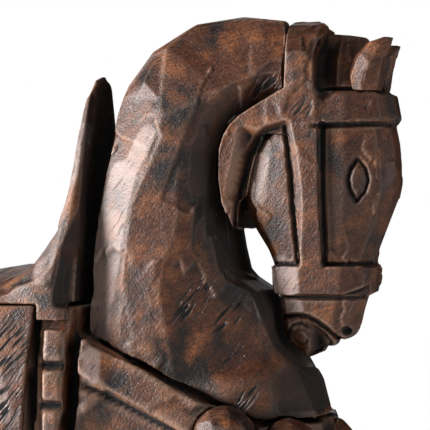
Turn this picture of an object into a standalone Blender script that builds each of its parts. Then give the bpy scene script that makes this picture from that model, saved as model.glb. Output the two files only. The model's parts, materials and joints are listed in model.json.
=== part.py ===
"""Carved wooden horse on a plinth: a statuette glued up from blocks.

The horse faces +X and stands on its plinth, +Z up. The origin is the centre of the felt's underside.
Sizes are in millimetres and meshes are built in metres, by MM.
The horse's own frame has x = 0 at the front legs' axis and z = 0 at the glue plane on top of the legs.
"""

import math

import bmesh
import bpy
from mathutils import Vector

MM = 0.001

# Fits
GLUE_GAP = 0.3
DOWEL_CLEARANCE = 0.3
ROUND_SIDES = 16

# Plinth
FELT_THICKNESS = 1.5
FELT_INSET = 3.0
PLINTH_THICKNESS = 22.0
PLINTH_WIDTH = 122.0
PLINTH_END_MARGIN = 32.0
PLINTH_CHAMFER = 3.0

# Stance
LEG_LENGTH = 152.0
WHEELBASE = 194.0
LEG_SPREAD = 26.0

# Trunk
BARREL_HALF_WIDTH = 47.0
TRUNK_SQUARENESS = 3.2
BACK_Z = 129.0
SADDLE_LET_IN = 18.0

# Head and neck
NECK_SQUARENESS = 2.7
THROATLATCH_HALF_WIDTH = 23.5
BRIDLE_RELIEF = 3.2

# Harness
STRAP_RELIEF = 3.0
BAND_RELIEF = 4.5
FLAP_THICKNESS = 4.5
BEAD_PITCH = 15.1
BEAD_GAP = 3.5
BEAD_NOTCH = 3.0
SLOT_WIDTH = 3.7
SLOT_DEPTH = 14.0
BELL_RADIUS = 10.4
END_BELL_RADIUS = 12.4
BELL_SPACE = 2.0

# Dowels and screws: radius, length
LEG_DOWEL = (5.0, 40.0)
NECK_DOWEL = (5.0, 44.0)
HEAD_DOWEL = (3.5, 26.0)
SADDLE_DOWEL = (4.0, 24.0)
TAIL_DOWEL = (3.0, 22.0)
EAR_DOWEL = (1.5, 8.0)
SCREW_SHANK_RADIUS = 2.2
SCREW_HEAD_RADIUS = 4.5
SCREW_HEAD_HEIGHT = 3.0
SCREW_LENGTH = 36.0
SCREW_SINK = 1.0

# What the tables below are drawn for. Legs, back and barrel are stretched from these to the sizes above.
DRAWN_LEG_LENGTH = 152.0
DRAWN_WHEELBASE = 194.0
DRAWN_HALF_WIDTH = 47.0
POMMEL_FOOT_X = -77.0

PLINTH_BOTTOM = FELT_THICKNESS + GLUE_GAP
PLINTH_TOP = PLINTH_BOTTOM + PLINTH_THICKNESS
HOOF_Z = PLINTH_TOP + GLUE_GAP
GLUE_PLANE_Z = HOOF_Z + LEG_LENGTH
FORE_X = WHEELBASE / 2
REAR_X = -WHEELBASE
SADDLE_BED_Z = BACK_Z - SADDLE_LET_IN
CANTLE_X = -165.3

# Stations of the trunk ahead of the saddle's rear edge: x, belly z, back z, half width under the barrel's
TRUNK_FRONT = (
    (40, 33, 56, 31),
    (34, 23, 73, 18),
    (20, 13, 88, 8),
    (-8, 6, 100, 5),
    (-35, 3, 112, 4),
    (-55, 2, BACK_Z, 1),
    (-90, 1, BACK_Z, 0),
    (-135, 2, BACK_Z, 1),
)
# Stations of the croup, x from the rear legs' axis
TRUNK_REAR = (
    (27, 4, 126, 2),
    (18, 5, 117, 3),
    (-11, 12, 113, 6),
    (-30, 28, 98, 16),
    (-42, 46, 80, 31),
)
# Stations of the neck, bottom to poll: crest point (x, z), throat point (x, z), half width
NECK = (
    ((-62, 39), (46, 39), 37),
    ((-62, 74), (44.6, 60), 39),
    ((-62, 96), (40, 79), 39),
    ((-60, 119), (20.5, 116), 37),
    ((-59, 129), (11, 122), 36),
    ((-57, 144), (8.7, 131.5), 34.5),
    ((-51, 170), (6, 147), 31.5),
    ((-42, 193), (6, 163), 28.5),
    ((-29.5, 209.5), (11, 176), 26),
    ((-10.5, 221), (18, 186), 24),
    ((8, 223.7), (24, 188), 22.5),
    ((30, 221), (34, 188), 21.5),
)
# Stations of the skull, poll to lips: jaw point (x, z), face point (x, z), half width
HEAD = (
    ((22, 217), (57, 214), 9.5),
    ((18, 207), (61, 204.5), 13.5),
    ((14, 191), (66, 190.5), 18.5),
    ((9.5, 179), (68, 179.5), 20.5),
    ((8, 168), (70.2, 169), 21.5),
    ((8, 158), (70.8, 159), 21.5),
    ((9.5, 148), (69, 150), 21),
    ((13.5, 139), (65.5, 141), 19.5),
    ((18.3, 131), (62, 132), 18),
    ((21, 124), (60, 125), 17),
    ((22.5, 114), (58, 114), 16),
    ((23, 107), (56, 107.5), 15.5),
    ((23.6, 101), (54.8, 102), 14.5),
    ((25.5, 96), (51.5, 97), 12.5),
    ((31, 90.5), (46, 94.3), 9),
    ((34, 89), (42.5, 92.5), 6),
)
# Half of the skull's cross section: along the jaw-to-face line and across it, as shares of each half size
HEAD_RING = (
    (1.0, 0.0), (0.97, 0.47), (0.78, 0.84), (0.35, 1.0), (-0.4, 1.0), (-0.82, 0.88), (-1.0, 0.5), (-1.0, 0.0),
)

# Outlines in the horse's frame, x and z
THROATLATCH_OUTER = (
    (26.8, 193.4), (18.8, 189.0), (9.6, 183.4), (4.3, 178.0), (1.3, 168.5), (1.1, 158.5), (2.4, 150.8),
    (7.1, 139.2),
)
THROATLATCH_INNER = (
    (9.6, 139.2), (8.8, 145), (9.4, 152.7), (11.4, 162.3), (12.9, 168), (17.2, 174.5), (21.1, 177.5),
    (40, 179.2), (40, 193.4),
)
CHIN = (
    (12, 130), (20, 117.5), (22, 113), (22.7, 106), (23.4, 100), (25, 95.5), (31, 89.5), (34, 87), (60, 80),
)
HEAD_JOINT = ((26.8, 245), *THROATLATCH_OUTER, *CHIN, (95, 80), (95, 245))
CROWN_SIDE = ((20, 176), (20, 220), (30, 221.3), (39, 221), (43, 217.5), (39, 206), (39.5, 176))
CROWN_FRONT = ((23.9, 170), (23.9, 195), (22.5, 207), (18.5, 214.5), (10, 219.5))
CHEEK_STRAP = ((27.3, 185), (30.4, 160), (32.7, 114), (41.5, 114), (40.3, 185))
BROWBAND = ((29, 179.7), (68, 180.7), (70.8, 183), (70.8, 190), (69, 192), (29, 192))
NOSEBAND = ((20.2, 114), (60.5, 114), (62.5, 116.5), (62.7, 123.5), (61, 125.3), (20.5, 125.3))
CHEST_STRAP = ((-50, 86), (-6, 62), (14, 57), (80, 57), (80, 76), (14, 76), (-50, 107))
BEAD_BAND = ((-61.6, -10), (-52.8, -10), (-52.8, 101.5), (-61.6, 101.5))
NECK_SEAT = ((-49.8, 99.7), (0, 75.6), (14, 66.6), (120, 66.6))
NECK_BACK = (
    (-47.8, 60), (-47.8, 105), (-47.4, 128), (-47, 138), (-45.7, 150), (-44.6, 161), (-42.4, 171),
    (-40.8, 185), (-38, 195), (-38, 240),
)
SLOT_BACK = ((-60, -20), (-58, 40), (-52.8, 75), (-51.5, 100), (-51.5, 150))
FLAP_TOP_Z = SADDLE_BED_Z - GLUE_GAP - 0.1
FLAP_SIDE = (
    (-72, 12), (-67.8, 75), (-65.8, 98), (-65.2, FLAP_TOP_Z), (-160, FLAP_TOP_Z), (-156, 30), (-148, 14),
)
# The saddle from the pommel's front to the cantle's back: half of each ring, top to bottom, as x, y, z
SADDLE = (
    (
        (-49, 0, 200), (-49, 7, 197), (-49.5, 12, 188), (-50.8, 20, 172), (-51.2, 28, 154), (-51.3, 34, 141),
        (-51.4, 39, 129), (-51.5, 42, 118), (-51.5, 42.5, 100),
    ),
    (
        (-50.3, 0, 201.5), (-51.2, 8, 199.5), (-52.4, 14, 193), (-53.4, 22, 175), (-54.2, 29, 156),
        (-54.6, 36, 141),
        (-55.4, 40.5, 132), (-56.2, 44.5, 122), (-56.2, 46, 100),
    ),
    (
        (-52, 0, 200.5), (-52.8, 8, 198), (-54.3, 14, 190), (-56, 22, 172), (-57.8, 28.5, 153.5),
        (-59, 35, 139.5),
        (-61.5, 40, 130), (-65, 44.5, 120), (-67, 46.5, 100),
    ),
    (
        (-57, 0, 167), (-57.3, 7, 165), (-58.2, 13, 158), (-60, 20, 147), (-62, 27, 139.5),
        (-65, 33.5, 132.5),
        (-68.5, 39.5, 125.5), (-71, 44.5, 117), (-72, 47, 100),
    ),
    (
        (-62, 0, 139), (-62.5, 7, 138.2), (-63.5, 13, 136), (-65, 20, 133), (-66.5, 27, 129.5),
        (-69, 33.5, 126),
        (-73, 39.5, 121.5), (-76, 44, 115), (-77, 47, 100),
    ),
    (
        (-72, 0, 127), (-72.5, 7, 126.7), (-74, 13, 125.9), (-76, 20, 124.4), (-78, 27, 122.2),
        (-80, 33.5, 119.6),
        (-83, 39.5, 116.2), (-86, 44, 112.7), (-86, 47, 100),
    ),
    tuple((-104, y, z) for y, z in (
        (0, 122), (7, 121.8), (13, 121.2), (20, 120.2), (27, 118.7), (33.5, 116.7), (39.5, 114.3),
        (44, 111.9), (46.5, 100),
    )),
    tuple((-134, y, z) for y, z in (
        (0, 125.5), (7, 125.3), (13, 124.7), (20, 123.5), (27, 121.6), (33.5, 119), (39.5, 116),
        (44, 112.5), (46.5, 100),
    )),
    tuple((-149, y, z) for y, z in (
        (0, 133), (7, 132.5), (13, 131), (20, 128.5), (27, 125.5), (33.5, 122), (39.5, 118),
        (44, 113.5), (46.3, 100),
    )),
    tuple((-161, y, z) for y, z in (
        (0, 154), (8, 153), (16, 149.5), (24, 143.5), (31, 136), (37, 128), (41.5, 120), (44.5, 113),
        (46, 100),
    )),
    tuple((CANTLE_X, y, z) for y, z in (
        (0, 153), (8, 152), (15.5, 148.5), (23, 142), (30, 134.5), (36, 126.5), (40.5, 119),
        (43.5, 112), (45, 100),
    )),
)
SKIRT_FOOT_Z = 104.5

# Legs, sole to top: x, z, half length, half width
FORE_LEG = (
    (6, 0, 17, 14.5),
    (3, 16, 13, 12),
    (1, 20, 9, 8.5),
    (0, 32, 10.5, 10),
    (0.5, 43, 8, 7.5),
    (1, 70, 8, 7.5),
    (2, 81, 11, 10.5),
    (2, 94, 10.5, 10),
    (1, 106, 12, 11),
    (0, 130, 17, 14.5),
    (-2, 152, 22, 17.5),
    (-4, 178, 26, 20),
    (-5, 202, 20, 17),
    (-5, 218, 10, 10),
)
REAR_LEG = (
    (0, 0, 16.5, 14),
    (-3, 16, 12.5, 12),
    (-5, 20, 9, 8.5),
    (-7, 32, 10, 9.5),
    (-8, 43, 8, 7.5),
    (-12, 68, 8.5, 8),
    (-15, 84, 13, 10),
    (-12, 98, 14, 11),
    (-3, 116, 18, 14),
    (4, 136, 25, 17.5),
    (6, 152, 31, 19.5),
    (6, 190, 34, 21),
    (5, 215, 26, 18),
    (4, 236, 14, 11),
)
TAIL = (
    (-26, 94, 4.5, 5),
    (-42, 93, 6.5, 7),
    (-52, 84, 8, 8.5),
    (-57, 66, 9, 9.5),
    (-58, 40, 9.5, 10),
    (-56, 14, 8.5, 9),
    (-52, -10, 6, 6.5),
    (-49, -24, 2.5, 3),
)
EAR = (
    (56.5, 188.5, 6.0, 5.0),
    (57.5, 197, 7.2, 5.6),
    (59.5, 203.5, 6.6, 5.2),
    (62.5, 208, 4.8, 4.0),
    (66, 211, 2.4, 2.2),
    (68.3, 212.3, 0.5, 0.5),
)
EAR_Y = 13.0
# Carving on each side of the head, x and z: the groove round the eye, the line of the mouth, and the nostril
EYE_GROOVE = (
    (54.9, 167.5), (58.6, 163), (59.6, 158.3), (58.2, 153.5), (54.6, 148.8), (51.6, 153), (50.6, 158.3),
    (51.8, 163),
)
EYEBALL = (
    (54.9, 164.3), (57.1, 161.5), (57.8, 158.3), (56.8, 154.8), (54.7, 151.8), (52.8, 155), (52.2, 158.3),
    (53, 161.5),
)
MOUTH = (
    (26, 103.6), (30, 105.6), (35, 104.6), (40, 100.2), (45, 95.4), (49, 95), (49, 93), (44, 93.6),
    (38.6, 98.9), (34.6, 102.6), (30, 103.5),
)
NOSTRIL = (50.0, 101.0, 1.2)
CARVING_DEPTH = 1.2
EAR_SPLAY = 0.12

# Bells: the front one's centre, the next one's to the left, and the way that the row runs back from there
FRONT_BELL = (41.5, 0.0, 55.9)
SIDE_BELL = (30.6, 32.0, 58.6)
ROW_WAY = (-22.8, 9.0, 3.4)

WOOD = {
    "carved_walnut": (0.150, 0.070, 0.036),
    "dark_plinth": (0.060, 0.032, 0.020),
    "dowel_beech": (0.560, 0.390, 0.230),
}

# The exact solver drops faces where this many shallow cuts meet
MANIFOLD_CUT = ("body", "neck")


# Meshes


def clear_scene():
    for old in list(bpy.data.objects):
        bpy.data.objects.remove(old)


def material(name, colour, roughness, metallic=0.0):
    made = bpy.data.materials.get(name) or bpy.data.materials.new(name)
    made.use_nodes = True
    shader = made.node_tree.nodes["Principled BSDF"]
    shader.inputs["Base Color"].default_value = (*colour, 1.0)
    shader.inputs["Roughness"].default_value = roughness
    shader.inputs["Metallic"].default_value = metallic
    return made


def new_object(name, mesh, parent=None):
    made = bpy.data.objects.new(name, mesh)
    bpy.context.scene.collection.objects.link(made)
    made.parent = parent
    return made


def mesh_of(name, bm):
    bmesh.ops.recalc_face_normals(bm, faces=bm.faces)
    mesh = bpy.data.meshes.new(name)
    bm.to_mesh(mesh)
    bm.free()
    return mesh


def loft(name, rings, parent):
    """A closed skin over rings of points, with a flat cap on the first and last."""
    bm = bmesh.new()
    loops = [[bm.verts.new(Vector(p) * MM) for p in ring] for ring in rings]
    for low, high in zip(loops, loops[1:]):
        for i in range(len(low)):
            j = (i + 1) % len(low)
            bm.faces.new((low[i], low[j], high[j], high[i]))
    bm.faces.new(loops[0])
    bm.faces.new(loops[-1])
    return new_object(name, mesh_of(name, bm), parent)


def prism(name, outline, y_low, y_high, parent):
    """An outline in x and z, extruded across y."""
    rings = [[(x, y, z) for x, z in outline] for y in (y_low, y_high)]
    return loft(name, rings, parent)


def box(name, low, high, parent):
    outline = ((low[0], low[2]), (high[0], low[2]), (high[0], high[2]), (low[0], high[2]))
    return prism(name, outline, low[1], high[1], parent)


def cylinder(name, radius, length, axis, parent, location, bottom_radius=None):
    """A round bar centred on location along one axis."""
    ends = ((-length / 2, bottom_radius or radius), (length / 2, radius))
    turn = {"x": (2, 0, 1), "y": (1, 2, 0), "z": (0, 1, 2)}[axis]
    rings = []
    for along, r in ends:
        angles = [2 * math.pi * i / ROUND_SIDES for i in range(ROUND_SIDES)]
        flat = [(r * math.cos(a), r * math.sin(a), along) for a in angles]
        rings.append([tuple(p[turn[k]] for k in range(3)) for p in flat])
    made = loft(name, rings, parent)
    made.location = Vector(location) * MM
    return made


def superellipse(count, squareness):
    """Points round a unit superellipse, as (along, across)."""
    points = []
    for i in range(count):
        a = 2 * math.pi * i / count
        c, s = math.cos(a), math.sin(a)
        along = math.copysign(abs(c) ** (2 / squareness), c)
        across = math.copysign(abs(s) ** (2 / squareness), s)
        points.append((along, across))
    return points


def mirrored(half):
    """A closed ring from its near half, whose ends lie on the middle plane."""
    return list(half) + [(along, -across) for along, across in half[-2:0:-1]]


def spine_rings(stations, unit_ring, grow=0.0):
    """Rings square to a spine in the middle plane. A station is rear point, front point, half width."""
    rings = []
    for rear, front, half_width in stations:
        rear, front = Vector((rear[0], 0, rear[1])), Vector((front[0], 0, front[1]))
        centre = (rear + front) / 2
        half = (front - rear) / 2
        half = half * (1 + grow / half.length)
        rings.append([centre + half * u + Vector((0, (half_width + grow) * v, 0)) for u, v in unit_ring])
    return rings


def grown_outline(outline, distance):
    """The outline offset outwards by a distance, corner by corner."""
    count = len(outline)
    after = [outline[(i + 1) % count] for i in range(count)]
    area = sum(a[0] * b[1] - b[0] * a[1] for a, b in zip(outline, after))
    side = 1 if area > 0 else -1
    grown = []
    for i, point in enumerate(outline):
        here = Vector(point)
        first = (here - Vector(outline[i - 1])).normalized()
        second = (Vector(after[i]) - here).normalized()
        normals = [Vector((d.y, -d.x)) * side for d in (first, second)]
        middle = (normals[0] + normals[1]).normalized()
        grown.append(tuple(here + middle * distance / max(middle.dot(normals[0]), 0.5)))
    return grown


def tool(made):
    """Marks an object as a cutter or guide, which is no part of the horse."""
    made.hide_render = True
    made.display_type = "WIRE"
    return made


def boolean(target, operation, other):
    tool(other)
    modifier = target.modifiers.new(f"{operation.lower()} {other.name}", "BOOLEAN")
    modifier.operation = operation
    modifier.solver = "MANIFOLD" if target.name in MANIFOLD_CUT else "EXACT"
    modifier.object = other
    return target


def turned(made):
    """Shades a round piece as round, its ends' edges left sharp."""
    for face in made.data.polygons:
        face.use_smooth = True
    made.data.set_sharp_from_angle(angle=math.radians(50))
    return made


def finish(made, paint):
    made.data.materials.clear()
    made.data.materials.append(paint)
    return made


# Forms that several pieces are cut from


def along_back(x):
    """A drawn place behind the pommel's foot, moved with the wheelbase."""
    stretch = (REAR_X - POMMEL_FOOT_X) / (-DRAWN_WHEELBASE - POMMEL_FOOT_X)
    return min(x, POMMEL_FOOT_X) * stretch + POMMEL_FOOT_X * (1 - stretch) + max(x - POMMEL_FOOT_X, 0)


def across(y):
    """A drawn half width, moved with the barrel's."""
    return y * BARREL_HALF_WIDTH / DRAWN_HALF_WIDTH


def trunk_rings(grow=0.0):
    unit = superellipse(18, TRUNK_SQUARENESS)
    stations = [(along_back(x), *rest) for x, *rest in TRUNK_FRONT]
    stations += [(x + REAR_X, *rest) for x, *rest in TRUNK_REAR]
    rings = []
    for number, (x, low, high, less) in enumerate(stations):
        end = {0: 1, len(stations) - 1: -1}.get(number, 0)
        half_height = (high - low) / 2 + grow
        half_width = BARREL_HALF_WIDTH - less + grow
        centre = (high + low) / 2
        rings.append([(x + end * grow, half_width * v, centre + half_height * u) for u, v in unit])
    return rings


def trunk_form(name, parent, grow=0.0):
    return loft(name, trunk_rings(grow), parent)


def neck_form(name, parent, grow=0.0):
    """The neck. Its foot widens or narrows with the barrel, and its top stays as drawn."""
    wider = BARREL_HALF_WIDTH - DRAWN_HALF_WIDTH
    foot_z, top_z = NECK[2][0][1], NECK[-1][0][1]
    stations = []
    for crest, throat, half_width in NECK:
        share = min(max((top_z - crest[1]) / (top_z - foot_z), 0), 1)
        stations.append((crest, throat, half_width + wider * share))
    return loft(name, spine_rings(stations, superellipse(14, NECK_SQUARENESS), grow), parent)


def head_form(name, parent, grow=0.0):
    rings = spine_rings(HEAD, mirrored(HEAD_RING), grow)
    for end, shift in ((0, grow), (-1, -grow)):
        rings[end] = [point + Vector((0, 0, shift)) for point in rings[end]]
    return loft(name, rings, parent)


def leg_rings(stations, x, y):
    """Rings of a leg. Below the glue plane they are spread over the leg's length."""
    unit = superellipse(12, 2.8)
    rings = []
    for centre, drawn_z, half_length, half_width in stations:
        above = drawn_z - DRAWN_LEG_LENGTH
        z = above if above > 0 else above * LEG_LENGTH / DRAWN_LEG_LENGTH
        rings.append([(x + centre + half_length * u, y + half_width * v, z) for u, v in unit])
    return rings


def path_rings(stations, ring, side, x_shift=0.0, y=0.0, splay=0.0):
    """Rings square to a path in x and z. splay leans the path outwards for each mm that it climbs."""
    centres = [Vector((x + x_shift, 0, z)) for x, z, _, _ in stations]
    rings = []
    for i, (_, z, half_depth, half_width) in enumerate(stations):
        ahead = centres[min(i + 1, len(centres) - 1)] - centres[max(i - 1, 0)]
        square = Vector((ahead.z, 0, -ahead.x)).normalized()
        outwards = Vector((0, side * (y + splay * (z - stations[0][1])), 0))
        middle = centres[i] + outwards
        rings.append([middle + square * half_depth * u + Vector((0, half_width * v, 0)) for u, v in ring])
    return rings


# Sub-parts


def make_plinth(wood, felt_cloth, screw_steel):
    length = WHEELBASE + 2 * PLINTH_END_MARGIN + 2 * FORE_LEG[0][2]
    half = (length / 2, PLINTH_WIDTH / 2)
    x, y = half[0] - FELT_INSET, half[1] - FELT_INSET
    finish(box("felt_base", (-x, -y, 0), (x, y, FELT_THICKNESS), None), felt_cloth)
    rings = []
    for z, inset in ((PLINTH_BOTTOM, 0), (PLINTH_TOP - PLINTH_CHAMFER, 0), (PLINTH_TOP, PLINTH_CHAMFER)):
        x, y = half[0] - inset, half[1] - inset
        rings.append([(-x, -y, z), (x, -y, z), (x, y, z), (-x, y, z)])
    plinth = finish(loft("plinth", rings, None), wood)
    for name, x, y in hoof_places():
        low = PLINTH_BOTTOM + SCREW_SINK
        shank_z = low + SCREW_LENGTH / 2
        screw = cylinder(f"{name}_screw", SCREW_SHANK_RADIUS, SCREW_LENGTH, "z", None, (x, y, shank_z))
        head = cylinder(
            f"{name}_screw_head", SCREW_SHANK_RADIUS - 0.2, SCREW_HEAD_HEIGHT, "z", None,
            (x, y, low + SCREW_HEAD_HEIGHT / 2), SCREW_HEAD_RADIUS,
        )
        boolean(screw, "UNION", head)
        finish(turned(screw), screw_steel)
        bore_radius = SCREW_SHANK_RADIUS + DOWEL_CLEARANCE
        bore_size = (bore_radius, 2 * PLINTH_THICKNESS)
        boolean(plinth, "DIFFERENCE", cylinder(f"{name}_bore", *bore_size, "z", None, (x, y, PLINTH_TOP)))
        sink_height = SCREW_HEAD_HEIGHT + 2 * SCREW_SINK
        sink_z = PLINTH_BOTTOM - SCREW_SINK + sink_height / 2
        sink = cylinder(
            f"{name}_countersink", bore_radius, sink_height, "z", None, (x, y, sink_z),
            SCREW_HEAD_RADIUS + 2 * SCREW_SINK,
        )
        boolean(plinth, "DIFFERENCE", sink)
    return plinth


def hoof_places():
    """Name and world x, y of each hoof's screw."""
    fore = FORE_X + FORE_LEG[1][0]
    rear = FORE_X + REAR_X + REAR_LEG[1][0]
    return [
        ("fore_right", fore, -LEG_SPREAD), ("fore_left", fore, LEG_SPREAD),
        ("rear_right", rear, -LEG_SPREAD), ("rear_left", rear, LEG_SPREAD),
    ]


def leg_places():
    """Name, stations, x and y in the horse's frame."""
    return [
        ("fore_right", FORE_LEG, 0, -LEG_SPREAD), ("fore_left", FORE_LEG, 0, LEG_SPREAD),
        ("rear_right", REAR_LEG, REAR_X, -LEG_SPREAD), ("rear_left", REAR_LEG, REAR_X, LEG_SPREAD),
    ]


def dowel(name, size, axis, horse, location, seats, beech):
    """A dowel, and its blind hole in each piece that it joins."""
    radius, length = size
    made = finish(turned(cylinder(name, radius, length, axis, horse, location)), beech)
    hole_size = (radius + DOWEL_CLEARANCE, length + 2 * GLUE_GAP)
    for seat in seats:
        hole = cylinder(f"{name}_hole_in_{seat.name}", *hole_size, axis, horse, location)
        boolean(seat, "DIFFERENCE", hole)
    return made


def make_legs(horse, wood):
    legs = {}
    for name, stations, x, y in leg_places():
        leg = finish(loft(f"{name}_leg", leg_rings(stations, x, y), horse), wood)
        top = box(f"{name}_leg_trim", (x - 90, y - 90, -GLUE_GAP / 2), (x + 90, y + 90, 90), horse)
        boolean(leg, "DIFFERENCE", top)
        _, screw_x, screw_y = next(place for place in hoof_places() if place[0] == name)
        tip = PLINTH_BOTTOM + SCREW_SINK + SCREW_LENGTH + GLUE_GAP
        depth = 2 * (tip - HOOF_Z)
        pilot = cylinder(
            f"{name}_pilot", SCREW_SHANK_RADIUS + DOWEL_CLEARANCE, depth, "z", horse,
            (screw_x - FORE_X, screw_y, -LEG_LENGTH),
        )
        boolean(leg, "DIFFERENCE", pilot)
        legs[name] = leg
    return legs


def make_body(horse, wood):
    """The trunk with the tops of the legs, the breast strap and the beaded band in relief."""
    body = finish(trunk_form("body", horse), wood)
    for name, stations, x, y in leg_places():
        boolean(body, "UNION", loft(f"{name}_haunch", leg_rings(stations, x, y), horse))
    boolean(body, "UNION", neck_form("neck_base", horse))
    strap = trunk_form("strap_skin", horse, STRAP_RELIEF)
    boolean(strap, "UNION", neck_form("strap_neck_skin", horse, STRAP_RELIEF))
    boolean(strap, "INTERSECT", prism("strap_outline", CHEST_STRAP, -90, 90, horse))
    boolean(body, "UNION", strap)
    band = trunk_form("band_skin", horse, BAND_RELIEF)
    boolean(band, "INTERSECT", prism("band_outline", BEAD_BAND, -90, 90, horse))
    top = BEAD_BAND[2][1]
    reach = BARREL_HALF_WIDTH - 1 + BAND_RELIEF - BEAD_NOTCH
    for side in (-1, 1):
        low, high = sorted((side * reach, side * 90))
        for i in range(1, int(top / BEAD_PITCH) - 1):
            z = top - i * BEAD_PITCH
            outline = ((-66, z), (-48, z), (-48, z + BEAD_GAP), (-66, z + BEAD_GAP))
            boolean(band, "DIFFERENCE", prism(f"notch_{side}_{i}", outline, low, high, horse))
    boolean(body, "UNION", band)
    outline = list(SLOT_BACK) + [(x + SLOT_WIDTH, z) for x, z in reversed(SLOT_BACK)]
    for side in (-1, 1):
        low, high = sorted((side * (BARREL_HALF_WIDTH - SLOT_DEPTH), side * 90))
        boolean(body, "DIFFERENCE", prism(f"slot_{side}", outline, low, high, horse))
    above = list(NECK_SEAT) + [(120, 260), (NECK_SEAT[0][0], 260)]
    boolean(body, "DIFFERENCE", prism("above_strap", above, -90, 90, horse))
    bed_z = SADDLE_BED_Z - GLUE_GAP
    rear = along_back(CANTLE_X)
    bed = ((-49, 250), (-49, bed_z), (rear - GLUE_GAP, bed_z), (rear - 6.7, BACK_Z + 1), (rear - 6.7, 250))
    boolean(body, "DIFFERENCE", prism("saddle_bed", bed, -95, 95, horse))
    legs = box("leg_plane", (REAR_X - 136, -90, -LEG_LENGTH - 20), (120, 90, GLUE_GAP / 2), horse)
    boolean(body, "DIFFERENCE", legs)
    return body


def make_neck(horse, wood):
    neck = finish(neck_form("neck", horse), wood)
    keep = [(x, z + GLUE_GAP) for x, z in NECK_SEAT] + [(120, 260), (-60, 260)]
    boolean(neck, "INTERSECT", prism("neck_keep", keep, -90, 90, horse))
    behind = [(-120, 60), *NECK_BACK, (-120, 240)]
    boolean(neck, "DIFFERENCE", prism("neck_back", behind, -90, 90, horse))
    boolean(neck, "DIFFERENCE", prism("head_seat", grown_outline(HEAD_JOINT, GLUE_GAP), -90, 90, horse))
    return neck


def make_head(horse, wood):
    head = finish(head_form("head", horse), wood)
    outline = [(x - 8, z) for x, z in THROATLATCH_OUTER] + list(THROATLATCH_INNER)
    half = THROATLATCH_HALF_WIDTH
    boolean(head, "UNION", prism("throatlatch", outline, -half, half, horse))
    skin = head_form("bridle_skin", horse, BRIDLE_RELIEF)
    straps = prism("browband", BROWBAND, -90, 90, horse)
    boolean(straps, "UNION", prism("cheek_strap", CHEEK_STRAP, -89, 89, horse))
    boolean(straps, "UNION", prism("noseband", NOSEBAND, -88, 88, horse))
    boolean(skin, "INTERSECT", straps)
    boolean(head, "UNION", skin)
    crown = prism("crown", CROWN_SIDE, -60, 60, horse)
    arch = [(y, z) for y, z in CROWN_FRONT] + [(0, 221.5)] + [(-y, z) for y, z in reversed(CROWN_FRONT)]
    rings = [[(x, y, z) for y, z in arch] for x in (10, 60)]
    boolean(crown, "INTERSECT", loft("crown_arch", rings, horse))
    boolean(head, "UNION", crown)
    boolean(head, "INTERSECT", prism("head_keep", HEAD_JOINT, -80, 80, horse))
    for side in (-1, 1):
        grooves = prism(f"eye_{side}", EYE_GROOVE, *sorted((side * 5, side * 60)), horse)
        eyeball = prism(f"eyeball_{side}", EYEBALL, *sorted((side * 4, side * 61)), horse)
        boolean(grooves, "DIFFERENCE", eyeball)
        boolean(grooves, "UNION", prism(f"mouth_{side}", MOUTH, *sorted((side * 5, side * 60)), horse))
        boolean(grooves, "DIFFERENCE", head_form(f"carving_floor_{side}", horse, -CARVING_DEPTH))
        boolean(head, "DIFFERENCE", grooves)
        x, z, radius = NOSTRIL
        nostril = cylinder(f"nostril_{side}", radius, 12, "y", horse, (x, side * 17, z))
        boolean(head, "DIFFERENCE", nostril)
    return head


def make_ears(horse, wood):
    ears = {}
    ring = superellipse(8, 2.2)
    for name, side in (("right", -1), ("left", 1)):
        rings = path_rings(EAR, ring, side, y=EAR_Y, splay=EAR_SPLAY)
        ear = finish(loft(f"{name}_ear", rings, horse), wood)
        boolean(ear, "DIFFERENCE", head_form(f"{name}_ear_seat", horse, GLUE_GAP))
        brow = box(f"{name}_ear_foot", (0, -60, 100), (90, 60, 192 + GLUE_GAP), horse)
        boolean(ear, "DIFFERENCE", brow)
        ears[name] = ear
    return ears


def make_saddle(horse, wood):
    """Pommel, seat and cantle in one block, flat below but for the skirts in front, beside the trunk."""
    rings = []
    for drawn in SADDLE:
        half = [(along_back(x), across(y), z) for x, y, z in drawn]
        rings.append([(x, -y, z) for x, y, z in reversed(half)] + half[1:])
    saddle = finish(loft("saddle", rings, horse), wood)
    boolean(saddle, "DIFFERENCE", box("skirt_foot", (-250, -90, 60), (-20, 90, SKIRT_FOOT_Z), horse))
    boolean(saddle, "DIFFERENCE", box("bed_rear", (-250, -90, 60), (-64.4, 90, SADDLE_BED_Z), horse))
    bed = trunk_form("bed_front", horse, GLUE_GAP)
    boolean(bed, "INTERSECT", box("bed_front_top", (-100, -90, 60), (-20, 90, SADDLE_BED_Z), horse))
    boolean(saddle, "DIFFERENCE", bed)
    return saddle


def make_flaps(horse, wood):
    flaps = {}
    for name, side in (("right", -1), ("left", 1)):
        flap = finish(trunk_form(f"{name}_flap", horse, FLAP_THICKNESS), wood)
        low, high = sorted((side * 12, side * 90))
        outline = [(along_back(x), z) for x, z in FLAP_SIDE]
        boolean(flap, "INTERSECT", prism(f"{name}_flap_outline", outline, low, high, horse))
        boolean(flap, "DIFFERENCE", trunk_form(f"{name}_flap_seat", horse, GLUE_GAP))
        for leg, stations, x, y in leg_places():
            if y * side > 0:
                boolean(flap, "DIFFERENCE", loft(f"{name}_flap_{leg}", leg_rings(stations, x, y), horse))
        flaps[name] = flap
    return flaps


def make_tail(horse, wood):
    rings = path_rings(TAIL, superellipse(10, 2.4), 1, x_shift=REAR_X)
    tail = finish(loft("tail", rings, horse), wood)
    return boolean(tail, "DIFFERENCE", trunk_form("tail_seat", horse, GLUE_GAP))


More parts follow.
